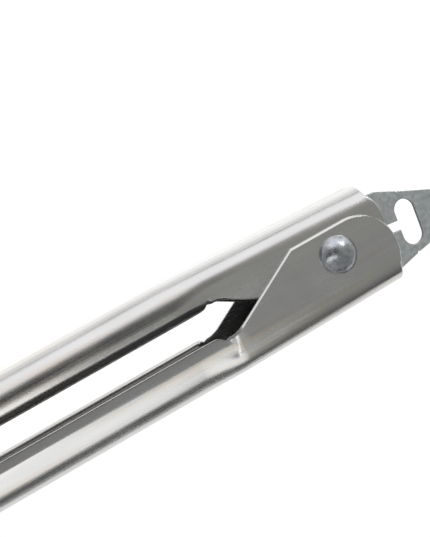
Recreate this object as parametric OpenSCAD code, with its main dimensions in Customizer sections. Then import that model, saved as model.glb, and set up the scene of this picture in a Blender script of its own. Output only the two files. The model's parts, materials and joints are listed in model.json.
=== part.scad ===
// Spring loaded locking kitchen tongs, closed and locked, lying on one side.
// Two channel-shaped arms turn on one rivet. A double torsion spring pushes them
// open, and a lock plate between their rear ends holds them shut when it is pulled out.
// +X runs from the tips to the lock plate, +Y towards the upper arm, +Z along the rivet.

/* [Sheet metal] */
// Thickness of the arms' sheet
sheet_t = 1.0; // [0.8:0.1:1.2]
// Gap between the ears of the two arms, on each side
ear_gap = 0.15; // [0.1:0.05:0.3]

/* [Arms] */
// From the rivet to the tips
reach = 284; // [270:1:300]
// From the centre plane to an arm's back, along the straight part
back_h = 15; // [14:0.5:16]
// From the centre plane to the curled lips
lip_h = 3.8; // [3:0.1:5]
// Half the width of an arm along its straight part
tube_hw = 9; // [8.5:0.1:10]
// Width of the rounding between an arm's side and its back
shoulder_w = 6.4; // [6:0.1:8]
// Height of the same rounding
shoulder_h = 8.2; // [7:0.1:8.4]
// Outer radius of a curled lip
lip_r = 2.6; // [2.2:0.1:3]
// How far a lip curls round, in degrees
lip_turn = 150; // [120:5:160]

/* [Ears] */
// Half the width over the upper arm's ears
upper_hw = 8.5; // [8:0.1:9]
// From the centre plane to the upper arm's back, at its rear end
upper_rear_h = 12.9; // [12.6:0.1:13.5]
// From the centre plane to the lower arm's back, at its rear end
lower_rear_h = 14; // [13.8:0.1:14.5]
// Outer radius of the bend between an ear and the back
ear_bend = 5; // [4:0.1:5.2]
// How far each ear reaches past the centre plane
ear_past = 7.2; // [6.5:0.1:7.5]
// From the rivet forward to the corner of an ear
ear_corner = 10.8; // [9:0.1:12]
// Slope of an ear's front edge, in degrees
ear_slope = 28; // [25:1:31]
// Height of the edge between the ear and the start of the lips
relief_h = 4.7; // [4.4:0.1:5.2]
// Distance over which the lips curl up to their full turn
lip_run = 4; // [3:0.1:4.4]
// Radius of an ear's round rear end
ear_r = 11; // [10.5:0.1:11.5]
// From the rivet to the rear edge of an arm's back
rear_x = 14.45; // [14:0.05:15]

/* [Heads] */
// Length of a scalloped head
head_len = 84; // [75:1:95]
// Half the width of a head
head_hw = 18; // [15:0.5:20]
// From the centre plane to the rim of a head
rim_h = 0.4; // [0.3:0.1:1]
// Number of scallops along each edge of a head
scallops = 6; // [4:1:8]
// Depth of a scallop
scallop_d = 0.9; // [0.4:0.1:1.2]

/* [Pivot] */
// Radius of the rivet's shank
shank_r = 2.5; // [2:0.1:3]
// Radius of the rivet's domed head
dome_r = 4.9; // [4.5:0.1:5.5]
// Height of the domed head
dome_h = 3; // [2:0.1:3.4]
// Height of the flatter head that is formed on the other end
tail_h = 1.8; // [1.2:0.1:2.4]
// Outer radius of the bush round the shank
bush_r = 3.5; // [3.2:0.1:4]
// Running clearance between turning parts
running = 0.06; // [0.02:0.01:0.1]

/* [Spring] */
// Diameter of the spring wire
wire_d = 1.4; // [1.2:0.1:1.6]
// Radius of the coil at the middle of the wire
coil_r = 4.6; // [4.5:0.1:5]
// Whole turns of each of the two coils
coil_turns = 3; // [2:1:3]
// From the rivet forward to the ends of the legs
leg_reach = 38; // [30:1:42]

/* [Lock plate] */
// Thickness of the plate
plate_t = 1.2; // [1:0.1:1.4]
// Half the width of the plate's straight part
plate_hw = 10.9; // [10.5:0.1:11]
// From the rivet to the end of the straight part
plate_straight = 19.3; // [19:0.1:20]
// Taper of each edge of the pull tab, in degrees
plate_taper = 19; // [17:1:21]
// From the rivet to the tip of the pull tab
plate_tip = 42; // [38:1:45]
// How far the plate slides in as the tongs open
plate_travel = 10.5; // [10:0.1:11]
// How far the plate hangs down about the rivet, in degrees
plate_droop = 6.5; // [0:0.5:6.5]
// Radius of the ends of the hanging slot
hang_r = 2.9; // [2.5:0.1:3]
// Length of the hanging slot, end to end
hang_len = 12.3; // [10:0.1:13]
// From the rivet to the middle of the hanging slot
hang_x = 25.5; // [25:0.1:27]
// Width of the slit that joins the two slots
slit_w = 2.5; // [2:0.1:3]

/* [Hidden] */
$fn = 64;

lower_hw = upper_hw + ear_gap + sheet_t;      // half the width over the lower arm's ears
ear_cx = 5.4;                                 // centre of an ear's round end
ear_cu = ear_r - ear_past;
corner_steps = 7;                             // facets of a bend between side and back
lip_steps = 5;                                // facets of a curled lip
blend_start = 33;                             // the ears turn into the tube between these
blend_end = 46;
head_start = reach - head_len;
head_steps = 4 * scallops + 10;
wire_r = wire_d / 2;
plate_gap = 1.1;                              // from the plate's face to the middle of the first turn
turn_gap = 0.2;                               // gap between the turns of a coil
coil_in = plate_t / 2 + plate_gap;
coil_pitch = wire_d + turn_gap;
coil_out = coil_in + coil_turns * coil_pitch;
bush_play = 0.1;                              // end play of the bush inside the upper arm's ears
bush_half = upper_hw - sheet_t - bush_play;
head_play = 0.05;                             // gap under each rivet head
under_head = lower_hw + head_play;

// The origin is under the middle of the whole object, at its lowest point.
tip_r = 4.5;                                  // radius of the pull tab's tip
tab_end = (plate_tip - tip_r) * cos(plate_droop) + tip_r;
shift_x = (reach - tab_end) / 2;
mid_z = head_hw;

function clamp01(t) = max(0, min(1, t));
function ease(t) = let (c = clamp01(t)) c * c * (3 - 2 * c);
function mix(a, b, t) = a + (b - a) * t;

// Along an arm, d is the distance in front of the rivet. It is negative behind it.

// 0 at the start of the head, 1 at the tip
function head_t(d) = clamp01((d - head_start) / head_len);
// 0 in the ears, 1 in the tube
function tube_t(d) = ease((d - blend_start) / (blend_end - blend_start));

// The numbers of a head are shares of its length, unless they say otherwise.
scallop_from = 0.28;                          // where the scallops start
scallop_fade = 0.15;                          // over how much they reach their full depth
neck_to = 0.58;                               // where the head is at its widest
tip_from = 0.74;                              // where the outline starts to round in to the tip
tip_round = 0.7;                              // how much of the width's square the tip takes off
bowl_to = 0.5;                                // where the bowl starts to get shallower
tip_depth = 1.8;                              // depth of the bowl at the tip, in mm
bowl_swell = 2.2;                             // the two powers that shape the bowl's bottom
bowl_round = 0.6;
rim_to = 0.45;                                // where the rim has reached its own height
lip_fade = 0.3;                               // where the lips have opened out into the rim
rim_strip = 2;                                // most height of the plain strip along the rim, in mm
strip_share = 0.3;                            // the same strip, as a share of the bowl's depth
side_strip = 0.1;                             // height left between that strip and the bend, in mm
head_flat = 0.8;                              // half the width of the flat along the bottom, in mm

// Scallops: 0 on a crest and 1 in a hollow, growing in from the neck
function scallop(d) = let (t = head_t(d) - scallop_from)
    ease(t / scallop_fade) * (0.5 - 0.5 * cos(360 * scallops * t / (1 - scallop_from)));

// The head's outline, without its scallops: a neck that widens and a round tip
function head_width(d) = let (t = head_t(d), r = clamp01((t - tip_from) / (1 - tip_from)))
    mix(tube_hw, head_hw, ease(t / neck_to)) * sqrt(1 - tip_round * r * r);

function arm_hw(d, ear_hw) =
    d > head_start ? head_width(d) - scallop_d * scallop(d) : mix(ear_hw, tube_hw, tube_t(d));

// Height of the back above the centre plane
function straight_back(d, rear_h) = mix(rear_h, back_h, clamp01((d + rear_x) / (blend_end + rear_x)));
function shallower(t) = clamp01((t - bowl_to) / (1 - bowl_to));
function head_depth(t) = mix(tip_depth, back_h - lip_h, pow(1 - pow(shallower(t), bowl_swell), bowl_round));
function arm_back(d, rear_h) = let (t = head_t(d))
    d > head_start ? head_rim(d) + head_depth(t) : straight_back(d, rear_h);

// Height of the sheet's lower edge: ear, sloping front edge, fillet, relief, lips, rim
fillet_r = 8;
slope_foot = ear_corner + (ear_past + relief_h) / tan(ear_slope);
fillet_len = fillet_r * tan(ear_slope / 2);
function fillet_edge(d) = let (a = asin((slope_foot + fillet_len - d) / fillet_r))
    relief_h - fillet_r * (1 - cos(a));
fillet_top = slope_foot - fillet_len * cos(ear_slope);
function ear_edge(d) =
    d < ear_corner ? -ear_past :
    d < fillet_top ? -ear_past + (d - ear_corner) * tan(ear_slope) :
    d < slope_foot + fillet_len ? fillet_edge(d) : relief_h;
function head_rim(d) = mix(lip_h, rim_h, ease(head_t(d) / rim_to));
lip_start = slope_foot + fillet_len + 0.2;    // the lips start just past the fillet
lip_len = lip_r * lip_turn * PI / 180;

// Height of the plain strip of the side above its edge: tall in the ears, low at the relief
ear_strip = 6;
relief_strip = 2;
strip_from = 20;
strip_run = 12;
function edge_strip(d) = mix(ear_strip, relief_strip, clamp01((d - strip_from) / strip_run));

// Each section of an arm is [half width, back, bend across, bend up, lip top, lip length, lip angle].
function bend_across(d) = mix(ear_bend, shoulder_w, tube_t(d));
function bend_up(d) = mix(ear_bend, shoulder_h, tube_t(d));
function ear_section(d, ear_hw, rear_h) = let (strip = edge_strip(d))
    [arm_hw(d, ear_hw), arm_back(d, rear_h), bend_across(d), bend_up(d), ear_edge(d) + strip, strip, 0];
function tube_section(d, ear_hw, rear_h) =
    [arm_hw(d, ear_hw), arm_back(d, rear_h), bend_across(d), bend_up(d), lip_h + lip_r, lip_len, lip_turn];
function head_section(d) = let (
        t = head_t(d), k = ease(t / lip_fade), w = arm_hw(d, tube_hw), depth = head_depth(t),
        strip = min(rim_strip, strip_share * depth), turn = mix(lip_turn, 0, k), l = mix(lip_len, strip, k),
        drop = turn > 1 ? l * 180 / PI / turn * (turn > 90 ? 1 : sin(turn)) : l,
        bend_w = w - mix(tube_hw - shoulder_w, head_flat, k),
        bend_h = mix(shoulder_h, depth - strip - side_strip, k))
    [w, arm_back(d, 0), bend_w, bend_h, head_rim(d) + drop, l, turn];

// Half a section, from the end of the lip to the middle of the back, with the sheet's
// outer face at inset 0 and its inner face at inset sheet_t. Points are [z, height].
function lip_point(s, i, inset) = let (a = s[6] * i / lip_steps)
    s[6] < 1 ? [s[0] - inset, s[4] - s[5] * i / lip_steps]
    : let (r = s[5] * 180 / PI / s[6]) [s[0] - r + (r - inset) * cos(a), s[4] - (r - inset) * sin(a)];
function half_section(s, inset) = concat(
    [for (i = [lip_steps:-1:0]) lip_point(s, i, inset)],
    [for (i = [0:corner_steps]) let (a = 90 * i / corner_steps)
        [s[0] - s[2] + (s[2] - inset) * cos(a), s[1] - s[3] + (s[3] - inset) * sin(a)]]);
function whole_side(s, inset) = let (h = half_section(s, inset), n = len(h))
    concat(h, [for (i = [n - 1:-1:0]) [-h[i][0], h[i][1]]]);
function section_ring(s, d) = let (outer = whole_side(s, 0), inner = whole_side(s, sheet_t), n = len(outer))
    concat([for (p = outer) [-d, p[1], p[0]]], [for (i = [n - 1:-1:0]) [-d, inner[i][1], inner[i][0]]]);

// Distances of the sections from the rivet
fillet_ds = [for (i = [0:4]) mix(fillet_top, slope_foot + fillet_len, i / 4)];
ear_ds = concat([-ear_cx - ear_r - 1, ear_corner, strip_from], fillet_ds, [lip_start]);
lip_full = lip_start + lip_run;
tube_ds = concat([for (i = [0:4]) mix(lip_full, blend_end, i / 4)], [head_start]);
closer = 0.92;                                // below 1, the sections get closer towards the tip
head_ds = [for (i = [1:head_steps]) head_start + head_len * pow(i / head_steps, closer)];

function arm_rings(ear_hw, rear_h) = concat(
    [for (d = ear_ds) section_ring(ear_section(d, ear_hw, rear_h), d)],
    [for (d = tube_ds) section_ring(tube_section(d, ear_hw, rear_h), d)],
    [for (d = head_ds) section_ring(head_section(d), d)]);

// A solid through closed rings of points. Each ring runs along the sheet's outer face
// and back along its inner face, so the end caps are strips across the sheet.
module loft(rings) {
    n = len(rings[0]);
    last = len(rings) - 1;
    points = [for (r = rings) for (p = r) p];
    skin = [for (i = [0:last - 1]) for (j = [0:n - 1]) let (a = i * n + j, b = i * n + (j + 1) % n)
        each [[a, b, b + n], [a, b + n, a + n]]];
    rear_cap = [for (j = [0:n / 2 - 2]) each [[j, n - 2 - j, j + 1], [j, n - 1 - j, n - 2 - j]]];
    tip_cap = [for (f = rear_cap) [f[0] + last * n, f[2] + last * n, f[1] + last * n]];
    polyhedron(points, concat(skin, rear_cap, tip_cap));
}

// What is cut off behind an arm to leave its round ears and straight rear edge
module behind_ears() {
    linear_extrude(height = 3 * lower_hw, center = true)
        difference() {
            translate([ear_cx, -2 * back_h])
                square([3 * ear_r, 4 * back_h]);
            translate([ear_cx, ear_cu])
                circle(r = ear_r);
            translate([ear_cx - 1, ear_cu + sqrt(ear_r * ear_r - pow(rear_x - ear_cx, 2))])
                square([rear_x - ear_cx + 1, 2 * back_h]);
        }
}

module arm(ear_hw, rear_h) {
    difference() {
        loft(arm_rings(ear_hw, rear_h));
        behind_ears();
        cylinder(r = shank_r + running, h = 3 * lower_hw, center = true);
    }
}

// Everything is drawn about the rivet, and then stood on the origin.
module placed() {
    translate([shift_x, 0, mid_z])
        children();
}

module upper_arm() {
    color([0.62, 0.62, 0.6])
        placed()
            arm(upper_hw, upper_rear_h);
}

module lower_arm() {
    color([0.66, 0.66, 0.65])
        placed()
            mirror([0, 1, 0])
                arm(lower_hw, lower_rear_h);
}

// A cap of a sphere, standing on the XY plane
module dome(r, h) {
    ball_r = (r * r + h * h) / (2 * h);
    intersection() {
        translate([0, 0, h - ball_r])
            sphere(r = ball_r);
        cylinder(r = r, h = h);
    }
}

module pivot_rivet() {
    color([0.5, 0.53, 0.58])
        placed() {
            cylinder(r = shank_r, h = 2 * under_head, center = true);
            translate([0, 0, under_head])
                dome(dome_r, dome_h);
            mirror([0, 0, 1])
                translate([0, 0, under_head])
                    dome(dome_r - 0.3, tail_h);
        }
}

module pivot_bush() {
    color([0.55, 0.55, 0.56])
        placed()
            difference() {
                cylinder(r = bush_r, h = 2 * bush_half, center = true);
                cylinder(r = shank_r + running, h = 3 * bush_half, center = true);
            }
}

// The wire's middle line for one coil: along the outer leg, round the coil towards the
// plate, and along the inner leg to the middle of its closed end.
leg_rest = 0.25;                              // gap between a leg and the arm that it bears on
coil_facets = 18;                             // points in one turn
inner_reach = leg_reach - 2;                  // the closed end stops a little short of the outer legs
shoulder_gap = 1;                             // keeps the outer legs clear of the arm's rounded shoulders
leg_inset = sheet_t + wire_r + leg_rest;
inner_end = [-inner_reach, straight_back(inner_reach, upper_rear_h) - leg_inset];
outer_end = [-leg_reach, shoulder_gap + leg_inset - straight_back(leg_reach, lower_rear_h)];

// Direction from the rivet to where a line from p touches the coil, on its upper or lower side
function touch_angle(p, side) = atan2(p[1], p[0]) - side * acos(coil_r / norm(p));
outer_touch = touch_angle(outer_end, -1);
inner_touch = touch_angle(inner_end, 1);
coil_sweep = 360 * coil_turns + (inner_touch - outer_touch) - 360 * floor((inner_touch - outer_touch) / 360);
coil_count = ceil(coil_facets * coil_sweep / 360);

function on_coil(i) = let (a = outer_touch + coil_sweep * i / coil_count)
    [coil_r * cos(a), coil_r * sin(a), mix(coil_out, coil_in, i / coil_count)];
bend_steps = 4;
function end_bend(i) = let (a = 90 * i / bend_steps)
    [inner_end[0] - coil_in * sin(a), inner_end[1], coil_in * cos(a)];
wire_line = concat([[outer_end[0], outer_end[1], coil_out]], [for (i = [0:coil_count]) on_coil(i)],
    [for (i = [0:bend_steps]) end_bend(i)]);

function unit(v) = v / norm(v);
// A ring of points round point i of a line, square to the line there
function wire_ring(line, i, sides) = let (
        a = line[max(i - 1, 0)], b = line[min(i + 1, len(line) - 1)],
        t = i == len(line) - 1 ? [0, 0, -1] : unit(b - a),
        up = abs(t[2]) > 0.8 ? [0, 1, 0] : [0, 0, 1],
        s = unit(cross(up, t)), n = cross(t, s))
    [for (k = [0:sides - 1]) line[i] + wire_r * (cos(360 * k / sides) * s + sin(360 * k / sides) * n)];

module tube_along(line, sides = 8) {
    points = [for (i = [0:len(line) - 1]) each wire_ring(line, i, sides)];
    last = len(line) - 1;
    skin = [for (i = [0:last - 1]) for (k = [0:sides - 1])
        let (a = i * sides + k, b = i * sides + (k + 1) % sides)
            each [[a, b + sides, b], [a, a + sides, b + sides]]];
    start = [[for (k = [0:sides - 1]) k]];
    finish = [[for (k = [sides - 1:-1:0]) last * sides + k]];
    polyhedron(points, concat(skin, start, finish));
}

module torsion_spring() {
    color([0.42, 0.43, 0.45])
        placed() {
            tube_along(wire_line);
            mirror([0, 0, 1])
                tube_along(wire_line);
        }
}

// Outline of the lock plate, along its own axis from the rivet
plate_front = 7.5;                            // how far the plate reaches in front of the rivet
front_r = 3;                                  // radius of its front corners
slot_r = bush_r + 0.1;                        // half the width of the slot that the bush runs in
tip_corner = plate_tip - tip_r + tip_r * sin(plate_taper);    // where the taper meets the round tip
tip_edge = plate_hw - (tip_corner - plate_straight) * tan(plate_taper);

module plate_outline() {
    difference() {
        translate([-plate_front, -plate_hw])
            square([plate_front + plate_straight, 2 * plate_hw]);
        for (side = [-1, 1])
            translate([-plate_front, side * plate_hw])
                difference() {
                    square(2 * front_r, center = true);
                    translate([front_r, -side * front_r])
                        circle(r = front_r);
                }
    }
    polygon([[plate_straight - 1, -plate_hw], [plate_straight, -plate_hw], [tip_corner, -tip_edge],
        [tip_corner, tip_edge], [plate_straight, plate_hw], [plate_straight - 1, plate_hw]]);
    translate([plate_tip - tip_r, 0])
        circle(r = tip_r);
}

module lock_plate() {
    color([0.55, 0.6, 0.63])
        placed()
            rotate([0, 0, -plate_droop])
                linear_extrude(height = plate_t, center = true)
                    difference() {
                        plate_outline();
                        translate([0, -slot_r])
                            square([plate_travel, 2 * slot_r]);
                        circle(r = slot_r);
                        translate([plate_travel, 0])
                            circle(r = slot_r);
                        translate([plate_travel, -slit_w / 2])
                            square([hang_x - plate_travel, slit_w]);
                        translate([hang_x - hang_r, -hang_len / 2 + hang_r])
                            square([2 * hang_r, hang_len - 2 * hang_r]);
                        for (side = [-1, 1])
                            translate([hang_x, side * (hang_len / 2 - hang_r)])
                                circle(r = hang_r);
                    }
}

upper_arm();
lower_arm();
pivot_rivet();
pivot_bush();
torsion_spring();
lock_plate();
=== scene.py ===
"""Looks of the locking kitchen tongs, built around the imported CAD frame.

Shapes are worked out in millimetres about the rivet: x towards the lock plate, u away
from the centre plane on an arm's own side, z along the rivet. place() turns them into
the row frame, in metres.
"""

import json
import math

import bpy
from mathutils import Matrix, Vector


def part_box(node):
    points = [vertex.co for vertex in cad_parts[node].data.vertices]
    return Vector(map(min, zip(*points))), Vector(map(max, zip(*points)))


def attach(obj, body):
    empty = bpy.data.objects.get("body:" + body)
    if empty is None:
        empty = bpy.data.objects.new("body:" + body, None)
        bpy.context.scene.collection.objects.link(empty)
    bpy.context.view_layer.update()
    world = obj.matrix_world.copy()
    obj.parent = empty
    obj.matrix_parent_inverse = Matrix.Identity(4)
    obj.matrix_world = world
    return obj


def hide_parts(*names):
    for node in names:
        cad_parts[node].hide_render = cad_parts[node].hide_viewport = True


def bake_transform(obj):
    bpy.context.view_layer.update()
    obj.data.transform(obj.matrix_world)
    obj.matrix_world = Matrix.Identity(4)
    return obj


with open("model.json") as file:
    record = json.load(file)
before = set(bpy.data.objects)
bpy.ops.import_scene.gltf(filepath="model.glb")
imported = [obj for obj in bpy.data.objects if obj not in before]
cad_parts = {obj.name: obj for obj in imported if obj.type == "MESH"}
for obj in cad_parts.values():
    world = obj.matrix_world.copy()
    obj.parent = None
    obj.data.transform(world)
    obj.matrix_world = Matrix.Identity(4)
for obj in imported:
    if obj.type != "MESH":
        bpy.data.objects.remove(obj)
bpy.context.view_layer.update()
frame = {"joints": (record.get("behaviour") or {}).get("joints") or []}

MM = 0.001
JOINTS = {j["name"]: j for j in frame["joints"]}
PIVOT = Vector(JOINTS["arm_pivot"]["pos_m"])
SLIDE_AXIS = Vector(JOINTS["lock_slide"]["axis"])


def box_mm(node):
    """A CAD node's lowest and highest corner about the rivet, in millimetres."""
    low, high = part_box(node)
    return (low - PIVOT) / MM, (high - PIVOT) / MM


UPPER_BOX = box_mm("upper_arm")
RIVET_BOX = box_mm("pivot_rivet")
BUSH_BOX = box_mm("pivot_bush")
PLATE_BOX = box_mm("lock_plate")

# Sheet and arms
SHEET = 1.0
# Coined cut edges, from the outer face round to the inner one: (how far along the sheet,
# how deep into it). The bevel on the outer side is what shows as a bright line.
RIM_OUTER = [(0.05, 0.01), (0.12, 0.05), (0.5, 0.31), (0.59, 0.39), (0.62, 0.47)]
RIM_INNER = [(0.62, 0.72), (0.57, 0.87), (0.46, 0.97)]
RIM = RIM_OUTER[-1][0]
# The ends of the arms: (distance from the end, how much thinner each face is)
END_ROUND = [(0.0, 0.33), (0.04, 0.24), (0.22, 0.12), (0.42, 0.02)]
END = 0.5
REACH = -UPPER_BOX[0].x
BACK_H = UPPER_BOX[1].y
HEAD_HW = UPPER_BOX[1].z
LIP_H = 3.8                         # a lip's lowest point, above the centre plane
LIP_R = 2.6
LIP_TURN = 150.0                    # how far a lip curls round, in degrees
LIP_RUN = 4.0                       # the lips curl up over this length
FLAT_TURN = 1.0                     # a lip that turns less than this is drawn flat
# The tube between the ears and the head: half its width, and its rounded shoulders' size
TUBE_HW = 9.0
SHOULDER_W = 6.4
SHOULDER_H = 8.2

# Ears: how far they reach past the centre plane, the radius and centre of their round end,
# where their sloping edge starts, and the height of the cut edge beyond it
EAR_PAST = -UPPER_BOX[0].y
EAR_R = 11.0
EAR_CX = UPPER_BOX[1].x - EAR_R
EAR_CU = EAR_R - EAR_PAST
EAR_CORNER = 10.8
EAR_SLOPE = math.radians(28)
RELIEF_H = 4.7
# The rear end is cut off square at REAR_X, from FLAT_U up
REAR_X = 14.45
FLAT_U = EAR_CU + math.sqrt(EAR_R ** 2 - (REAR_X - EAR_CX) ** 2)
# The flat strip along a cut edge: its width on an ear and on the relief, and where it narrows
EAR_STRIP = 6.0
RELIEF_STRIP = 2.0
STRIP_FROM = 20.0
STRIP_RUN = 12.0
# Where an ear turns into the tube, in front of the rivet
BLEND_START = 33.0
BLEND_END = 46.0
# Each arm: its side, half its width over the ears, the height of its back at the rear end
# and the bend there. The tube's blunt end is pressed into the lower arm's ears.
UPPER = {"side": 1, "ear_hw": 8.5, "rear_h": 12.7, "bend": 6.0, "pressed": False}
LOWER = {"side": -1, "ear_hw": 9.65, "rear_h": 14.0, "bend": 5.0, "pressed": True}

# Heads. The shares are of a head's length, from its neck.
HEAD_LEN = 84.0
RIM_H = 0.4
TIP_DEPTH = 1.8
SCALLOPS = 6
SCALLOP_D = 0.9
SCALLOP_FROM = 0.28
SCALLOP_FADE = 0.15
NECK_TO = 0.58
TIP_FROM = 0.74
TIP_ROUND = 0.7
BOWL_TO = 0.5
BOWL_SWELL = 2.2
BOWL_ROUND = 0.6
RIM_TO = 0.45
LIP_OPEN = 0.3                      # the lips have opened out by here
RIM_STRIP = 2.0
STRIP_SHARE = 0.3                   # the rim strip's most, as a share of the bowl's depth
HEAD_FLAT = 0.8                     # half the width of the flat of a head's back
STRIP_GAP = 0.1                     # between the rim strip and the bowl's bend
HEAD_START = REACH - HEAD_LEN

# Rivet
SHANK_R = 2.5
BORE_R = 2.56                       # of both arms' ears and of the bush

# Spring
WIRE_R = 0.7
COIL_R = 4.6
COIL_TURNS = 3
COIL_PITCH = 1.6
COIL_IN = 1.7                       # height of a coil's inner end above the plate's middle
COIL_OUT = COIL_IN + COIL_TURNS * COIL_PITCH
LEG_REACH = 38.0
LEG_SHORTER = 2.0                   # how much shorter the inner leg is
LEG_REST = 0.25                     # between a leg and the arm's back
LEG_LIFT = (0.5, 0.12)              # the outer leg's first step away from its end
OUTER_LIFT = 1.0                    # how much further the outer leg stays off the lower arm
END_TAPER = 0.8                     # the wire's end, as a share of its radius
STEPS_A_TURN = 60

# Lock plate, along its own axis from the rivet
PLATE_HW = 10.5                     # 0.4 less than the CAD's, to clear the arms when they open
PLATE_FRONT = 7.5
PLATE_STRAIGHT = 19.3
PLATE_TAPER = math.radians(19)
PLATE_TIP = 42.0
TIP_R = 4.5
FRONT_R = 3.0
SLOT_R = BUSH_BOX[1].x + 0.1
PLATE_TRAVEL = 10.5
SLIT_HALF = 1.25
HANG_X = 25.5
HANG_R = 2.9
HANG_LEN = 12.3
HANG_HALF = HANG_LEN / 2 - HANG_R


def clamp01(t):
    return max(0.0, min(1.0, t))


def ease(t):
    c = clamp01(t)
    return c * c * (3 - 2 * c)


def mix(a, b, t):
    return a + (b - a) * t


def spaced(a, b, count):
    """count + 1 evenly spaced values from a to b."""
    return [mix(a, b, i / count) for i in range(count + 1)]


def place(x, y, z):
    """Millimetres about the rivet as a point of the row frame."""
    return PIVOT + Vector((x, y, z)) * MM


# ---------------------------------------------------------------- mesh helpers

SHARP_OVER = 40                     # edges that turn by more degrees than this stay sharp
PLATE_SHARP_OVER = 25


def make_object(name, points, faces, material):
    mesh = bpy.data.meshes.new(name)
    mesh.from_pydata([tuple(p) for p in points], [], faces)
    mesh.validate()
    mesh.shade_smooth()
    mesh.set_sharp_from_angle(angle=math.radians(SHARP_OVER))
    mesh.materials.append(material)
    piece = bpy.data.objects.new(name, mesh)
    bpy.context.scene.collection.objects.link(piece)
    return piece


def lathe(profile, segments=96):
    """Turns a closed profile of (radius, z) about the rivet's axis. A radius of 0 is a pole."""
    points, rings, faces = [], [], []
    for radius, z in profile:
        if radius == 0:
            rings.append([len(points)] * segments)
            points.append(place(0, 0, z))
            continue
        rings.append(list(range(len(points), len(points) + segments)))
        for k in range(segments):
            a = 2 * math.pi * k / segments
            points.append(place(radius * math.cos(a), radius * math.sin(a), z))
    for low, high in zip(rings, rings[1:]):
        for k in range(segments):
            corners = [low[k], low[(k + 1) % segments], high[(k + 1) % segments], high[k]]
            faces.append(list(dict.fromkeys(corners)))
    return points, faces


def arc(cx, cy, r, start, end, count):
    """Points on an arc from start to end degrees."""
    return [(cx + r * math.cos(math.radians(a)), cy + r * math.sin(math.radians(a)))
            for a in spaced(start, end, count)]


# ---------------------------------------------------------------- arms

# The end of an ear's sloping edge, its fillet, and where the lips start and are complete
SLOPE_FOOT = EAR_CORNER + (EAR_PAST + RELIEF_H) / math.tan(EAR_SLOPE)
FILLET_R = 8.0
FILLET_LEN = FILLET_R * math.tan(EAR_SLOPE / 2)
FILLET_TOP = SLOPE_FOOT - FILLET_LEN * math.cos(EAR_SLOPE)
FILLET_END = SLOPE_FOOT + FILLET_LEN
LIP_START = FILLET_END + 0.2
LIP_FULL = LIP_START + LIP_RUN
LIP_LEN = math.radians(LIP_TURN) * LIP_R


def ear_edge(d):
    """Height of the sheet's edge, d in front of the rivet: ear, slope, fillet, relief."""
    if d < EAR_CORNER:
        return -EAR_PAST
    if d < FILLET_TOP:
        return -EAR_PAST + (d - EAR_CORNER) * math.tan(EAR_SLOPE)
    if d < FILLET_END:
        return RELIEF_H - FILLET_R * (1 - math.cos(math.asin((FILLET_END - d) / FILLET_R)))
    return RELIEF_H


def head_t(d):
    """How far along the head, from 0 at its neck to 1 at its tip."""
    return clamp01((d - HEAD_START) / HEAD_LEN)


def scallop(t):
    """The scallops' wave along a head's edge, from 0 to 1."""
    turns = SCALLOPS * (t - SCALLOP_FROM) / (1 - SCALLOP_FROM)
    wave = 0.5 - 0.5 * math.cos(2 * math.pi * turns)
    return ease((t - SCALLOP_FROM) / SCALLOP_FADE) * wave


def head_width(t):
    """Half the width of a head."""
    r = clamp01((t - TIP_FROM) / (1 - TIP_FROM))
    rounded = math.sqrt(1 - TIP_ROUND * r * r)
    return mix(TUBE_HW, HEAD_HW, ease(t / NECK_TO)) * rounded - SCALLOP_D * scallop(t)


def head_depth(t):
    """Depth of a head's bowl."""
    r = clamp01((t - BOWL_TO) / (1 - BOWL_TO))
    return mix(TIP_DEPTH, BACK_H - LIP_H, (1 - r ** BOWL_SWELL) ** BOWL_ROUND)


def head_rim(t):
    """Height of a head's rim above the centre plane."""
    return mix(LIP_H, RIM_H, ease(t / RIM_TO))


def back_height(d, arm):
    """Height of an arm's back above the centre plane."""
    return mix(arm["rear_h"], BACK_H, clamp01((d + REAR_X) / (BLEND_END + REAR_X)))


def section(d, arm, k):
    """The cross-section's sizes, d in front of the rivet. k is 0 for an ear and 1 for the tube."""
    if d > HEAD_START:
        t = head_t(d)
        opened = ease(t / LIP_OPEN)
        depth = head_depth(t)
        flat_lip = min(RIM_STRIP, STRIP_SHARE * depth)
        turn = mix(LIP_TURN, 0, opened)
        lip = mix(LIP_LEN, flat_lip, opened)
        drop = lip
        if turn > FLAT_TURN:
            drop = lip / math.radians(turn) * math.sin(math.radians(min(turn, 90)))
        width = head_width(t)
        return {"hw": width, "back": head_rim(t) + depth,
                "bend_w": width - mix(TUBE_HW - SHOULDER_W, HEAD_FLAT, opened),
                "bend_h": mix(SHOULDER_H, depth - flat_lip - STRIP_GAP, opened),
                "lip_top": head_rim(t) + drop, "lip": lip, "turn": turn}
    edge = ear_edge(d)
    curl = clamp01((d - LIP_START) / (LIP_FULL - LIP_START))
    plain_lip = mix(EAR_STRIP, RELIEF_STRIP, clamp01((d - STRIP_FROM) / STRIP_RUN))
    turn = LIP_TURN * curl
    return {"hw": mix(arm["ear_hw"], TUBE_HW, k), "back": back_height(d, arm),
            "bend_w": mix(arm["bend"], SHOULDER_W, k), "bend_h": mix(arm["bend"], SHOULDER_H, k),
            "lip_top": mix(edge + plain_lip, LIP_H + LIP_R, curl),
            "lip": max(plain_lip, LIP_R * math.radians(turn)), "turn": turn}


# Where the rows of points lie: shares of a lip, of a side and of the flat of the back
LIP_ROWS = [0, 0.05] + spaced(0.1, 1, 12)
SIDE_ROWS = [0.25, 0.5, 0.75]
BEND_STEPS = 40
BACK_ROWS = [0.3, 0.65]


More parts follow.
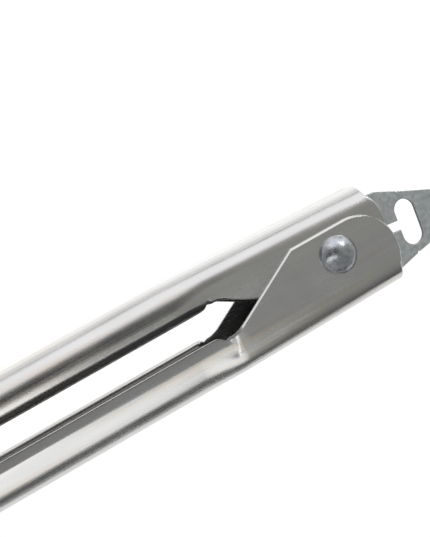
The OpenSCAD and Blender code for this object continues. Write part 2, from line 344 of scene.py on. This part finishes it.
def half_section(s, cut):
    """(z, u, normal z, normal u) along the outer face, from the lip's end to the back's middle."""
    rows = []
    length = s["lip"] - cut
    for f in reversed(LIP_ROWS):
        run = length * f
        if s["turn"] < FLAT_TURN:
            rows.append((s["hw"], s["lip_top"] - run, 1.0, 0.0))
            continue
        r = s["lip"] / math.radians(s["turn"])
        a = run / r
        rows.append((s["hw"] - r + r * math.cos(a), s["lip_top"] - r * math.sin(a),
                     math.cos(a), -math.sin(a)))
    bend_foot = s["back"] - s["bend_h"]
    for f in SIDE_ROWS:
        rows.append((s["hw"], mix(s["lip_top"], bend_foot, f), 1.0, 0.0))
    for a in spaced(0, math.pi / 2, BEND_STEPS):
        normal = Vector((math.cos(a) / s["bend_w"], math.sin(a) / s["bend_h"])).normalized()
        rows.append((s["hw"] - s["bend_w"] * (1 - math.cos(a)),
                     bend_foot + s["bend_h"] * math.sin(a), *normal))
    flat = s["hw"] - s["bend_w"]
    for f in BACK_ROWS:
        rows.append((mix(flat, 0, f), s["back"], 0.0, 1.0))
    return rows


def section_ring(s, inset):
    """A closed ring of (z, u) round the sheet. inset thins it, to round the end of an arm."""
    half = half_section(s, RIM)
    whole = half + [(-z, u, -nz, nu) for z, u, nz, nu in reversed(half)]
    outer = [(z - nz * inset, u - nu * inset) for z, u, nz, nu in whole]
    inner = [(z - nz * (SHEET - inset), u - nu * (SHEET - inset)) for z, u, nz, nu in whole]
    left = (SHEET - 2 * inset) / SHEET

    def rim(row, following, profile):
        """Points round the cut edge beyond a row, in step with a rim profile."""
        z, u, nz, nu = row
        out = Vector((nu, -nz))
        if (z - following[0]) * nu - (u - following[1]) * nz <= 0:
            out = -out
        points = []
        for along, deep in profile:
            depth = inset + deep * left
            reach = out * along * left
            points.append((z - nz * depth + reach.x, u - nu * depth + reach.y))
        return points

    near_out = rim(whole[0], whole[1], RIM_OUTER)
    near_in = rim(whole[0], whole[1], RIM_INNER)
    far_out = rim(whole[-1], whole[-2], RIM_OUTER)
    far_in = rim(whole[-1], whole[-2], RIM_INNER)
    return near_out[::-1] + outer + far_out + far_in + inner[::-1] + near_in[::-1]


def rear_map(x, u):
    """Bends the rear of the ears' grid to their round end."""
    if x <= EAR_CX:
        return x, u
    p = (x - EAR_CX) / EAR_R
    if u < EAR_CU:
        q = (EAR_CU - u) / EAR_R
        return (EAR_CX + EAR_R * p * math.sqrt(1 - q * q / 2),
                EAR_CU - EAR_R * q * math.sqrt(1 - p * p / 2))
    rear = REAR_X if u > FLAT_U else EAR_CX + math.sqrt(EAR_R ** 2 - (u - EAR_CU) ** 2)
    return EAR_CX + p * (rear - EAR_CX), u


SAME_RING = 0.001                   # rings closer than this are one ring


def arm_stations():
    """(distance in front of the rivet, inset) of every ring, from the rear to the tip."""
    rear_end = EAR_CX + EAR_R
    # (start, end, steps): closer where the outline or the section changes quickly
    spans = [(END - rear_end, END - rear_end + 0.25, 1), (1.2 - rear_end, -EAR_CX, 12),
             (1 - EAR_CX, EAR_CORNER - 0.3, 12), (EAR_CORNER, EAR_CORNER + 0.3, 1),
             (EAR_CORNER + 1.5, FILLET_TOP, 12), (FILLET_TOP, BLEND_START, 4),
             (BLEND_START, FILLET_END, 12), (LIP_START, LIP_FULL, 14), (LIP_FULL, BLEND_END, 20),
             (BLEND_END, HEAD_START, 16), (HEAD_START, REACH - END, 110)]
    stations = [(off - rear_end, thinner) for off, thinner in END_ROUND]
    for start, end, steps in spans:
        rings = spaced(start, end, steps)
        if start - stations[-1][0] < SAME_RING:
            rings = rings[1:]
        stations += [(d, 0.0) for d in rings]
    stations += [(REACH - off, thinner) for off, thinner in reversed(END_ROUND)]
    return stations


def ellipse_drop(u, foot, width, height):
    """How far a rounded shoulder has come in, u up from the centre plane."""
    up = clamp01((u - foot) / height)
    return width * (1 - math.sqrt(1 - up * up))


PRESS_STEP = 1.0                    # length of the step round the pressed end of the tube
PRESS_SHARE = 0.3                   # the step's share of the drop from the ear to the tube
PRESS_STRETCH = 3.4                 # how much longer the step is across the arm
PRESS_TOP = 11.1                    # how high above the centre plane the step runs
PRESS_CORNER = 3.0                  # radius of its corner along the arm


def pressed_in(d, u, arm, blended):
    """How far the tube's blunt end sits below the ear's face, before the two have blended."""
    drop = (arm["ear_hw"] - TUBE_HW) * PRESS_SHARE
    drop += ellipse_drop(u, BACK_H - SHOULDER_H, SHOULDER_W, SHOULDER_H)
    drop -= ellipse_drop(u, BACK_H - arm["bend"], arm["bend"], arm["bend"])
    across, along = (PRESS_TOP - u) / PRESS_STRETCH, d - BLEND_START
    inside = min(across, along)
    if max(across, along) < PRESS_CORNER:
        inside = PRESS_CORNER - math.hypot(PRESS_CORNER - across, PRESS_CORNER - along)
    return drop * (1 - blended) * ease(inside / PRESS_STEP)


def arm_ring(d, inset, arm):
    """One ring of (z, u): ear, tube, or each point on its way between the two."""
    blended = ease((d - BLEND_START) / (BLEND_END - BLEND_START))
    tube = section_ring(section(d, arm, 1), inset)
    if blended == 1:
        return tube
    ear = section_ring(section(d, arm, 0), inset)
    ring = [(mix(e[0], t[0], blended), mix(e[1], t[1], blended)) for e, t in zip(ear, tube)]
    if arm["pressed"] and blended > 0:
        ring = [(z - math.copysign(pressed_in(d, u, arm, blended), z), u) for z, u in ring]
    return ring


def cap_faces(ring):
    """Faces across an arm's end: a face at each rim, and a strip of quads along the sheet."""
    rim_out, rim_in = len(RIM_OUTER), len(RIM_INNER)
    rows = (len(ring) - 2 * (rim_out + rim_in)) // 2
    outer = ring[rim_out:rim_out + rows]
    inner = ring[2 * rim_out + rim_in + rows:len(ring) - rim_in][::-1]
    near = ring[len(ring) - rim_in:] + ring[:rim_out]
    far = ring[rim_out + rows:2 * rim_out + rim_in + rows]
    faces = [[outer[j], outer[j + 1], inner[j + 1], inner[j]] for j in range(rows - 1)]
    faces.append([inner[0]] + near + [outer[0]])
    faces.append([outer[-1]] + far + [inner[-1]])
    return faces


def build_arm(name, arm, material):
    """One arm, as rings of points joined from its rear to its tip."""
    side = arm["side"]
    points, faces, rings = [], [], []
    for d, inset in arm_stations():
        ring = []
        for z, u in arm_ring(d, inset, arm):
            x, u = rear_map(-d, u)
            ring.append(len(points))
            points.append(place(x, side * u, z))
        rings.append(ring)
    size = len(rings[0])
    for a, b in zip(rings, rings[1:]):
        for j in range(size):
            k = (j + 1) % size
            faces.append([a[j], a[k], b[k], b[j]])
    for ring, flip in ((rings[0], True), (rings[-1], False)):
        for cap in cap_faces(ring):
            faces.append(cap[::-1] if flip else cap)
    if side > 0:
        faces = [f[::-1] for f in faces]
    return make_object(name, points, faces, material)


DRILL_HALF = 14.0                   # the drill reaches past both ears


def cut_bore(piece):
    """Drills both ears of an arm for the rivet."""
    drill_shape = [(0, -DRILL_HALF), (BORE_R, -DRILL_HALF), (BORE_R, DRILL_HALF), (0, DRILL_HALF)]
    points, faces = lathe(drill_shape, segments=64)
    cutter = make_object("bore_cutter", points, faces, piece.data.materials[0])
    drill = piece.modifiers.new("bore", "BOOLEAN")
    drill.operation = "DIFFERENCE"
    drill.solver = "EXACT"
    drill.object = cutter
    apply_modifiers(piece)
    bpy.data.objects.remove(cutter)
    piece.data.set_sharp_from_angle(angle=math.radians(SHARP_OVER))


def apply_modifiers(piece):
    """Replaces a piece's mesh by the one its modifiers give."""
    graph = bpy.context.evaluated_depsgraph_get()
    baked = bpy.data.meshes.new_from_object(piece.evaluated_get(graph))
    piece.modifiers.clear()
    piece.data = baked


# ---------------------------------------------------------------- spring

def touch_angle(x, y, side):
    """Where a line from a leg's end touches the coil, in degrees."""
    off = math.degrees(math.acos(COIL_R / math.hypot(x, y)))
    return math.degrees(math.atan2(y, x)) - side * off


def spring_line():
    """The wire's middle line on the near side, from the outer leg to the plate's plane."""
    inset = SHEET + WIRE_R + LEG_REST
    inner = (LEG_SHORTER - LEG_REACH, back_height(LEG_REACH - LEG_SHORTER, UPPER) - inset)
    outer = (-LEG_REACH, OUTER_LIFT + inset - back_height(LEG_REACH, LOWER))
    first = touch_angle(*outer, -1)
    sweep = 360 * COIL_TURNS + (touch_angle(*inner, 1) - first) % 360
    count = int(STEPS_A_TURN * sweep / 360)
    line = [(*outer, COIL_OUT), (outer[0] + LEG_LIFT[0], outer[1] + LEG_LIFT[1], COIL_OUT)]
    for i in range(count + 1):
        a = math.radians(first + sweep * i / count)
        z = mix(COIL_OUT, COIL_IN, ease_ends(i / count))
        line.append((COIL_R * math.cos(a), COIL_R * math.sin(a), z))
    for a in spaced(0, 90, 12):
        bend = math.radians(a)
        line.append((inner[0] - COIL_IN * math.sin(bend), inner[1], COIL_IN * math.cos(bend)))
    return line


def ease_ends(t, soft=0.06):
    """0 to 1 at an even rate, starting and ending level."""
    rate = 1 / (1 - soft)
    if t < soft:
        return rate * t * t / (2 * soft)
    if t > 1 - soft:
        return 1 - ease_ends(1 - t, soft)
    return rate * (t - soft / 2)


STEEP = 0.8                         # the wire is steep with more than this along the rivet


def build_spring_half(name, side, material, sides=16):
    """One coil with its two legs, up to the middle of the closed inner leg."""
    line = [Vector((x, y, side * z)) for x, y, z in spring_line()]
    points, faces, rings = [], [], []
    last = len(line) - 1
    for i, p in enumerate(line):
        along = Vector((0, 0, -side))
        if i < last:
            along = (line[i + 1] - line[max(i - 1, 0)]).normalized()
        up = Vector((0, 1, 0)) if abs(along.z) > STEEP else Vector((0, 0, 1))
        across = up.cross(along).normalized()
        over = along.cross(across)
        radius = WIRE_R * (END_TAPER if i == 0 else 1)
        rings.append(list(range(len(points), len(points) + sides)))
        for k in range(sides):
            a = 2 * math.pi * k / sides
            q = p + (across * math.cos(a) + over * math.sin(a)) * radius
            points.append(place(*q))
    for a, b in zip(rings, rings[1:]):
        for k in range(sides):
            faces.append([a[k], a[(k + 1) % sides], b[(k + 1) % sides], b[k]])
    faces.append(rings[0][::-1])
    faces.append(rings[-1])
    return make_object(name, points, faces, material)


# ---------------------------------------------------------------- lock plate

# The shear notch in each edge: where it is, its depth, and the edge's fall over that length
NOTCH_X = 25.2
NOTCH = 0.5
NOTCH_FALL = 0.17
PLATE_BEVEL = 0.1


def plate_edge():
    """The plate's outline about the rivet, along its own axis: upper half, then lower half."""
    tip_cx = PLATE_TIP - TIP_R
    foot = PLATE_HW - (NOTCH_X - PLATE_STRAIGHT) * math.tan(PLATE_TAPER)
    upper = arc(-PLATE_FRONT + FRONT_R, PLATE_HW - FRONT_R, FRONT_R, 180, 90, 10)
    upper += [(PLATE_STRAIGHT, PLATE_HW)]
    upper += [(NOTCH_X - NOTCH, foot + NOTCH_FALL), (NOTCH_X, foot - NOTCH),
              (NOTCH_X + NOTCH, foot - NOTCH_FALL)]
    upper += arc(tip_cx, 0, TIP_R, 90 - math.degrees(PLATE_TAPER), 0, 12)
    return upper + [(x, -y) for x, y in upper[-2::-1]]


def plate_hole():
    """The bush slot, the slit and the hanging slot, as one opening."""
    mouth = math.degrees(math.asin(SLIT_HALF / SLOT_R))
    hang = HANG_X - HANG_R
    upper = arc(0, 0, SLOT_R, 180, 90, 16) + arc(PLATE_TRAVEL, 0, SLOT_R, 90, mouth, 14)
    upper += [(hang, SLIT_HALF)] + arc(HANG_X, HANG_HALF, HANG_R, 180, 0, 24)
    return upper + [(x, -y) for x, y in upper[::-1] if (x, y) != upper[0]]


def build_plate(material):
    """The lock plate, from a filled curve with bevelled edges."""
    curve = bpy.data.curves.new("plate_outline", "CURVE")
    curve.dimensions = "2D"
    curve.fill_mode = "BOTH"
    thickness = PLATE_BOX[1].z - PLATE_BOX[0].z
    curve.extrude = (thickness / 2 - PLATE_BEVEL) * MM
    curve.bevel_depth = PLATE_BEVEL * MM
    curve.bevel_resolution = 1
    curve.offset = -PLATE_BEVEL * MM
    for outline in (plate_edge(), plate_hole()):
        spline = curve.splines.new("POLY")
        spline.points.add(len(outline) - 1)
        for point, (x, y) in zip(spline.points, outline):
            point.co = (x * MM, y * MM, 0, 1)
        spline.use_cyclic_u = True
    shape = bpy.data.objects.new("plate_outline", curve)
    bpy.context.scene.collection.objects.link(shape)
    graph = bpy.context.evaluated_depsgraph_get()
    mesh = bpy.data.meshes.new_from_object(shape.evaluated_get(graph))
    bpy.data.objects.remove(shape)
    along = SLIDE_AXIS.normalized()
    across = Vector((0, 0, 1)).cross(along)
    turn = Matrix((along, across, (0, 0, 1))).transposed().to_4x4()
    mesh.transform(Matrix.Translation(PIVOT) @ turn)
    mesh.shade_smooth()
    mesh.set_sharp_from_angle(angle=math.radians(PLATE_SHARP_OVER))
    mesh.materials.clear()
    mesh.materials.append(material)
    piece = bpy.data.objects.new("lock_plate_tab", mesh)
    bpy.context.scene.collection.objects.link(piece)
    return piece


# ---------------------------------------------------------------- rivet and bush

def cap_profile(radius, base, height, steps=18):
    """A domed head's profile, from its rim to its pole."""
    ball = (radius ** 2 + height ** 2) / (2 * height)
    edge = math.asin(radius / ball)
    return [(ball * math.sin(a), base + height - ball * (1 - math.cos(a)))
            for a in spaced(edge, 0, steps)]


UNDER_HEAD = 9.7                    # height of the heads' undersides
HEAD_WALL = 0.8                     # the upright wall below the dome
HEAD_CHAMFER = 0.3
HEAD_LEAN = 0.05                    # how much the wall widens on its way up
HEAD_BAND = 0.15                    # the part of the wall with the full radius
DOME_RISE = 0.3                     # how much higher the dome is than the CAD's
TAIL_WALL = 0.3
TAIL_SMALLER = 0.3
TAIL_CHAMFER = 0.12
BUSH_CHAMFER = 0.25


def build_rivet(material):
    """The rivet, from the pole of its formed tail up to the pole of its dome."""
    under = UNDER_HEAD
    head_r = RIVET_BOX[1].x
    tail_r = head_r - TAIL_SMALLER
    wall = under + HEAD_WALL
    top = cap_profile(head_r, wall, RIVET_BOX[1].z - wall + DOME_RISE)
    tail = cap_profile(tail_r, under + TAIL_WALL, -RIVET_BOX[0].z - under - TAIL_WALL)
    profile = [(r if i < len(tail) - 1 else 0, -z) for i, (r, z) in enumerate(tail)][::-1]
    profile += [(tail_r, -under - TAIL_CHAMFER), (tail_r - TAIL_CHAMFER, -under)]
    profile += [(SHANK_R, -under), (SHANK_R, under)]
    profile += [(head_r - HEAD_CHAMFER, under), (head_r - HEAD_LEAN, under + HEAD_CHAMFER)]
    profile += [(head_r, wall - HEAD_BAND)]
    profile += [(r if i < len(top) - 1 else 0, z) for i, (r, z) in enumerate(top)]
    return make_object("rivet", *lathe(profile), material)


def build_bush(material):
    """The bush, a ring with chamfered ends."""
    outer = BUSH_BOX[1].x
    half = BUSH_BOX[1].z
    cut = BUSH_CHAMFER
    profile = [(BORE_R + cut, -half), (outer - cut, -half), (outer, -half + cut),
               (outer, half - cut), (outer - cut, half), (BORE_R + cut, half),
               (BORE_R, half - cut), (BORE_R, -half + cut), (BORE_R + cut, -half)]
    return make_object("bush", *lathe(profile, 72), material)


# ---------------------------------------------------------------- materials

class Nodes:
    """Short names for adding and linking shader nodes."""

    def __init__(self, tree):
        self.tree = tree

    def add(self, kind, **settings):
        node = self.tree.nodes.new(kind)
        for name, value in settings.items():
            setattr(node, name, value)
        return node

    def link(self, source, target):
        self.tree.links.new(source, target)

    def streaks(self, stretch, detail=3.0):
        """Noise stretched along each axis by the given counts per metre."""
        where = self.add("ShaderNodeTexCoord")
        scale = self.add("ShaderNodeMapping")
        scale.inputs["Scale"].default_value = stretch
        noise = self.add("ShaderNodeTexNoise")
        noise.inputs["Scale"].default_value = 1.0
        noise.inputs["Detail"].default_value = detail
        self.link(where.outputs["Object"], scale.inputs["Vector"])
        self.link(scale.outputs["Vector"], noise.inputs["Vector"])
        return noise.outputs["Fac"]

    def spread(self, value, low, high, from_low=0.3, from_high=0.7):
        """Maps a value between from_low and from_high to the range from low to high."""
        node = self.add("ShaderNodeMapRange")
        node.inputs["From Min"].default_value = from_low
        node.inputs["From Max"].default_value = from_high
        node.inputs["To Min"].default_value = low
        node.inputs["To Max"].default_value = high
        self.link(value, node.inputs["Value"])
        return node.outputs["Result"]

    def blend_colours(self, amount, first, second):
        """Goes from a colour, or a node's colour output, to a second colour by an amount."""
        node = self.add("ShaderNodeMix", data_type="RGBA")
        ends = [socket for socket in node.inputs if socket.type == "RGBA"]
        if isinstance(first, tuple):
            ends[0].default_value = (*first, 1)
        else:
            self.link(first, ends[0])
        ends[1].default_value = (*second, 1)
        self.link(amount, node.inputs["Factor"])
        return [o for o in node.outputs if o.type == "RGBA"][0]

    def add_values(self, a, b):
        node = self.add("ShaderNodeMath", operation="ADD")
        self.link(a, node.inputs[0])
        self.link(b, node.inputs[1])
        return node.outputs[0]

    def bump(self, height, distance):
        """Relief from a height of 0 to 1, times a distance in metres."""
        node = self.add("ShaderNodeBump")
        node.inputs["Strength"].default_value = 1.0
        node.inputs["Distance"].default_value = distance
        self.link(height, node.inputs["Height"])
        return node.outputs["Normal"]


def new_metal(name):
    """A bare metal, with its nodes and its shader."""
    material = bpy.data.materials.new(name)
    material.use_nodes = True
    shader = material.node_tree.nodes["Principled BSDF"]
    shader.inputs["Metallic"].default_value = 1.0
    return material, Nodes(material.node_tree), shader


def arm_steel():
    """Stainless sheet: drawn lines along the arm, cloudy patches and fine cross scratches."""
    material, nodes, shader = new_metal("arm_steel")
    drawn = nodes.streaks((25, 2600, 2600))
    fine = nodes.streaks((90, 9000, 9000), 2.0)
    cloud = nodes.streaks((70, 140, 140), 4.0)
    scratch = nodes.streaks((1500, 160, 160), 1.0)
    tan = nodes.streaks((14, 330, 330), 3.0)
    grain = nodes.streaks((1800, 1800, 1800), 2.0)
    colour = nodes.blend_colours(nodes.spread(cloud, 0, 1), (0.60, 0.598, 0.59),
                                 (0.65, 0.648, 0.64))
    tinted = nodes.blend_colours(nodes.spread(tan, 0, 0.75, 0.52, 0.7), colour,
                                 (0.60, 0.545, 0.48))
    nodes.link(tinted, shader.inputs["Base Color"])
    rough = nodes.add_values(nodes.spread(drawn, 0.2, 0.28), nodes.spread(cloud, -0.02, 0.04))
    nodes.link(rough, shader.inputs["Roughness"])
    lines = nodes.add_values(nodes.spread(drawn, 0, 0.7), nodes.spread(fine, 0, 0.3))
    marks = nodes.add_values(nodes.spread(scratch, 0, 0.5, 0.62, 0.7), nodes.spread(grain, 0, 0.3))
    nodes.link(nodes.bump(nodes.add_values(lines, marks), 0.000004), shader.inputs["Normal"])
    return material


def zinc_plate():
    """Zinc plated steel: blue-grey, matt, with a mottled bloom, and painted shade darkening the
    walls of its cut edges.
    """
    material, nodes, shader = new_metal("zinc_plate")
    bloom = nodes.streaks((900, 900, 900), 4.0)
    cloud = nodes.streaks((120, 120, 120), 3.0)
    colour = nodes.blend_colours(nodes.spread(bloom, 0, 1), (0.54, 0.59, 0.615), (0.76, 0.79, 0.80))
    # Painted shade: sideways-facing faces, the walls round the outline and the slots, are darkened
    # almost to black, standing in for the shadow along those walls.
    facing = nodes.add("ShaderNodeSeparateXYZ")
    nodes.link(nodes.add("ShaderNodeTexCoord").outputs["Normal"], facing.inputs[0])
    flat = nodes.add("ShaderNodeMath", operation="ABSOLUTE")
    nodes.link(facing.outputs["Z"], flat.inputs[0])
    painted_edge_shade = nodes.blend_colours(nodes.spread(flat.outputs[0], 1, 0, 0.2, 0.5), colour,
                                  (0.10, 0.11, 0.12))
    nodes.link(painted_edge_shade, shader.inputs["Base Color"])
    nodes.link(nodes.add_values(nodes.spread(cloud, 0.36, 0.44), nodes.spread(bloom, 0, 0.06)),
               shader.inputs["Roughness"])
    nodes.link(nodes.bump(bloom, 0.00002), shader.inputs["Normal"])
    return material


def rivet_steel():
    """A cold-formed head, mottled by handling marks."""
    material, nodes, shader = new_metal("rivet_steel")
    marks = nodes.streaks((700, 700, 700), 5.0)
    colour = nodes.blend_colours(nodes.spread(marks, 0, 1), (0.36, 0.38, 0.41), (0.56, 0.58, 0.60))
    nodes.link(colour, shader.inputs["Base Color"])
    nodes.link(nodes.spread(marks, 0.22, 0.34), shader.inputs["Roughness"])
    nodes.link(nodes.bump(marks, 0.00012), shader.inputs["Normal"])
    return material


def wire_steel():
    """Drawn spring wire, slightly oiled."""
    material, nodes, shader = new_metal("wire_steel")
    drawn = nodes.streaks((1200, 1200, 1200), 3.0)
    colour = nodes.blend_colours(nodes.spread(drawn, 0, 1), (0.34, 0.34, 0.35), (0.46, 0.46, 0.47))
    nodes.link(colour, shader.inputs["Base Color"])
    nodes.link(nodes.spread(drawn, 0.22, 0.34), shader.inputs["Roughness"])
    return material


def bush_steel():
    """Turned steel with rings from the lathe along its axis."""
    material, nodes, shader = new_metal("bush_steel")
    rings = nodes.streaks((200, 200, 6000), 2.0)
    colour = nodes.blend_colours(nodes.spread(rings, 0, 1), (0.50, 0.50, 0.51), (0.58, 0.58, 0.59))
    nodes.link(colour, shader.inputs["Base Color"])
    nodes.link(nodes.spread(rings, 0.25, 0.38), shader.inputs["Roughness"])
    nodes.link(nodes.bump(rings, 0.00001), shader.inputs["Normal"])
    return material


# ---------------------------------------------------------------- studio

FLOOR_GLOW = 0.94
FLOOR_WHITE = 0.22
FLOOR_HALF = 2.5                    # in metres


def build_floor():
    """A plain white floor that glows a little, so that it stays white in every view."""
    half = FLOOR_HALF
    corners = [(-half, -half, 0), (half, -half, 0), (half, half, 0), (-half, half, 0)]
    material = bpy.data.materials.new("floor_white")
    material.use_nodes = True
    shader = material.node_tree.nodes["Principled BSDF"]
    shader.inputs["Base Color"].default_value = (FLOOR_WHITE, FLOOR_WHITE, FLOOR_WHITE, 1)
    shader.inputs["Roughness"].default_value = 0.9
    shader.inputs["Specular IOR Level"].default_value = 0.0
    shader.inputs["Emission Color"].default_value = (1, 1, 1, 1)
    shader.inputs["Emission Strength"].default_value = FLOOR_GLOW
    make_object("floor", corners, [[0, 1, 2, 3]], material)


# The studio's light by angle round the tongs' long axis, in degrees: 0 is level on the
# upper arm's side, 90 is overhead and 180 is level on the lower arm's side.
STUDIO = [
    (-90, (0.75, 0.75, 0.75)),
    (-8, (0.75, 0.75, 0.75)),
    (-5, (0.20, 0.20, 0.20)),
    (4, (0.20, 0.20, 0.20)),
    (8, (0.86, 0.85, 0.87)),
    (48, (0.86, 0.85, 0.87)),
    (60, (0.26, 0.25, 0.23)),
    (85, (0.215, 0.215, 0.203)),
    (110, (0.205, 0.213, 0.203)),
    (150, (0.12, 0.12, 0.12)),
    (164, (0.06, 0.06, 0.06)),
    (190, (0.10, 0.10, 0.10)),
    (200, (0.60, 0.60, 0.60)),
    (270, (0.75, 0.75, 0.75)),
]
STUDIO_STRENGTH = 1.5
END_LIGHT = 0.22                    # towards the tips and beyond the rivet, away from BRIGHT_X
BRIGHT_X = 0.33                     # the ramp's light is centred on directions with this x
BRIGHT_REACH = (0.5, 0.85)          # and fades out between these distances from it

# Cards round the arms, in millimetres about the rivet: where each starts and ends along
# the arms, its two long edges as (y, z), and how bright its front and back are.
CARDS = {
    "strip_light": (-330, 8, (-25, 158), (-159, 96), 1.27, 1.27),
    "top_flag": (-330, 6, (14, 128), (96, 128), 0.06, 0.06),
    "gap_flag": (-200, -32, (-2, 6), (-2, 38), 0.26, 0.02),
    "rivet_flag": (-30, 40, (-8, 13), (-8, 60), 0.31, 0.31),
    "floor_flag": (-330, 60, (-130, -17.5), (-400, -17.5), 0.05, 0.05),
    "floor_glow": (-330, 60, (16, -17.5), (62, -17.5), 1.35, 1.35),
    "step_light": (-330, -44, (20, 158), (-25, 158), 1.7, 1.7),
    "rivet_lamp": (112, 142, (84, 129), (112, 99), 9.0, 9.0),
}


def build_card(name, start, end, edge, other_edge, front, back):
    """A card that only reflections see, glowing by its own amount on each face."""
    corners = [place(start, *edge), place(end, *edge), place(end, *other_edge),
               place(start, *other_edge)]
    material = bpy.data.materials.new(name)
    material.use_nodes = True
    nodes = Nodes(material.node_tree)
    nodes.tree.nodes.remove(nodes.tree.nodes["Principled BSDF"])
    glow = nodes.add("ShaderNodeEmission")
    side = nodes.add("ShaderNodeNewGeometry")
    nodes.link(nodes.spread(side.outputs["Backfacing"], front, back, 0, 1), glow.inputs["Strength"])
    nodes.link(glow.outputs[0], nodes.tree.nodes["Material Output"].inputs["Surface"])
    piece = make_object(name, corners, [[0, 1, 2, 3]], material)
    piece.visible_camera = False
    piece.visible_diffuse = False
    piece.visible_shadow = False


def build_world():
    """The studio round the tongs: the ramp by angle, fading to the end light lengthwise."""
    world = bpy.data.worlds.new("studio")
    bpy.context.scene.world = world
    world.use_nodes = True
    nodes = Nodes(world.node_tree)
    backdrop = world.node_tree.nodes["Background"]
    where = nodes.add("ShaderNodeTexCoord")
    axes = nodes.add("ShaderNodeSeparateXYZ")
    nodes.link(where.outputs["Generated"], axes.inputs[0])
    angle = nodes.add("ShaderNodeMath", operation="ARCTAN2")
    nodes.link(axes.outputs["Z"], angle.inputs[0])
    nodes.link(axes.outputs["Y"], angle.inputs[1])
    turn = nodes.add("ShaderNodeMath", operation="MULTIPLY_ADD")
    # to turns, with the ramp's start at -90 degrees
    turn.inputs[1].default_value = 1 / (2 * math.pi)
    turn.inputs[2].default_value = 0.25
    nodes.link(angle.outputs[0], turn.inputs[0])
    wrapped = nodes.add("ShaderNodeMath", operation="FRACT")
    nodes.link(turn.outputs[0], wrapped.inputs[0])
    ramp = nodes.add("ShaderNodeValToRGB")
    nodes.link(wrapped.outputs[0], ramp.inputs[0])
    stops = ramp.color_ramp.elements
    while len(stops) < len(STUDIO):
        stops.new(0.5)
    for stop, (degrees, colour) in zip(stops, STUDIO):
        stop.position = (degrees + 90) / 360
        stop.color = (*colour, 1)
    lengthwise = nodes.add("ShaderNodeMath", operation="SUBTRACT")
    lengthwise.inputs[1].default_value = BRIGHT_X
    nodes.link(axes.outputs["X"], lengthwise.inputs[0])
    off_bright = nodes.add("ShaderNodeMath", operation="ABSOLUTE")
    nodes.link(lengthwise.outputs[0], off_bright.inputs[0])
    ends = nodes.spread(off_bright.outputs[0], 0, 1, *BRIGHT_REACH)
    light = nodes.blend_colours(ends, ramp.outputs["Color"], (END_LIGHT, END_LIGHT, END_LIGHT))
    nodes.link(light, backdrop.inputs["Color"])
    backdrop.inputs["Strength"].default_value = STUDIO_STRENGTH


# The camera's lean to the arms: how far the rivet's axis points right and up in view.
LEAN_RIGHT = 0.333
LEAN_UP = 0.048
ARM_SLOPE = math.radians(29.2)      # of the arms, in view
AIM = (-27.7, 11.0, 0)              # the point in the middle of the view
CAMERA_DISTANCE = 590
LENS = 104.6
SENSOR = 24


def build_camera():
    """The camera, leaning to the arms as in the photograph."""
    up_axis = Vector((LEAN_RIGHT, LEAN_UP, math.sqrt(1 - LEAN_RIGHT ** 2 - LEAN_UP ** 2)))
    flat = Vector((math.cos(ARM_SLOPE), math.sin(ARM_SLOPE)))
    away = -(flat.x * up_axis.x + flat.y * up_axis.y) / up_axis.z
    long_axis = Vector((flat.x, flat.y, away)).normalized()
    side_axis = up_axis.cross(long_axis)
    turn = Matrix((long_axis, side_axis, up_axis))
    data = bpy.data.cameras.new("camera")
    data.sensor_fit = "VERTICAL"
    data.sensor_height = SENSOR
    data.lens = LENS
    data.clip_start = 0.01
    camera = bpy.data.objects.new("camera", data)
    back = turn @ Vector((0, 0, 1))
    seat = place(*AIM) + back * CAMERA_DISTANCE * MM
    camera.matrix_world = Matrix.Translation(seat) @ turn.to_4x4()
    bpy.context.scene.collection.objects.link(camera)
    bpy.context.scene.camera = camera


# ---------------------------------------------------------------- the scene

build_camera()
build_world()
build_floor()
for card_name, card_plan in CARDS.items():
    build_card(card_name, *card_plan)

steel = arm_steel()
for body, arm, piece_name in (("upper_arm", UPPER, "upper_arm_sheet"),
                              ("lower_arm", LOWER, "lower_arm_sheet")):
    sheet = build_arm(piece_name, arm, steel)
    cut_bore(sheet)
    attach(sheet, body)
    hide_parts(body)

wire = wire_steel()
for piece_name, side in (("spring_near", 1), ("spring_far", -1)):
    coil = build_spring_half(piece_name, side, wire)
    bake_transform(coil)
    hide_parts("torsion_spring")

rivet = build_rivet(rivet_steel())
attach(rivet, "pivot")
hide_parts("pivot_rivet")

bush = build_bush(bush_steel())
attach(bush, "pivot")
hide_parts("pivot_bush")

plate = build_plate(zinc_plate())
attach(plate, "lock")
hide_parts("lock_plate")

bpy.context.scene.view_settings.view_transform = "Standard"
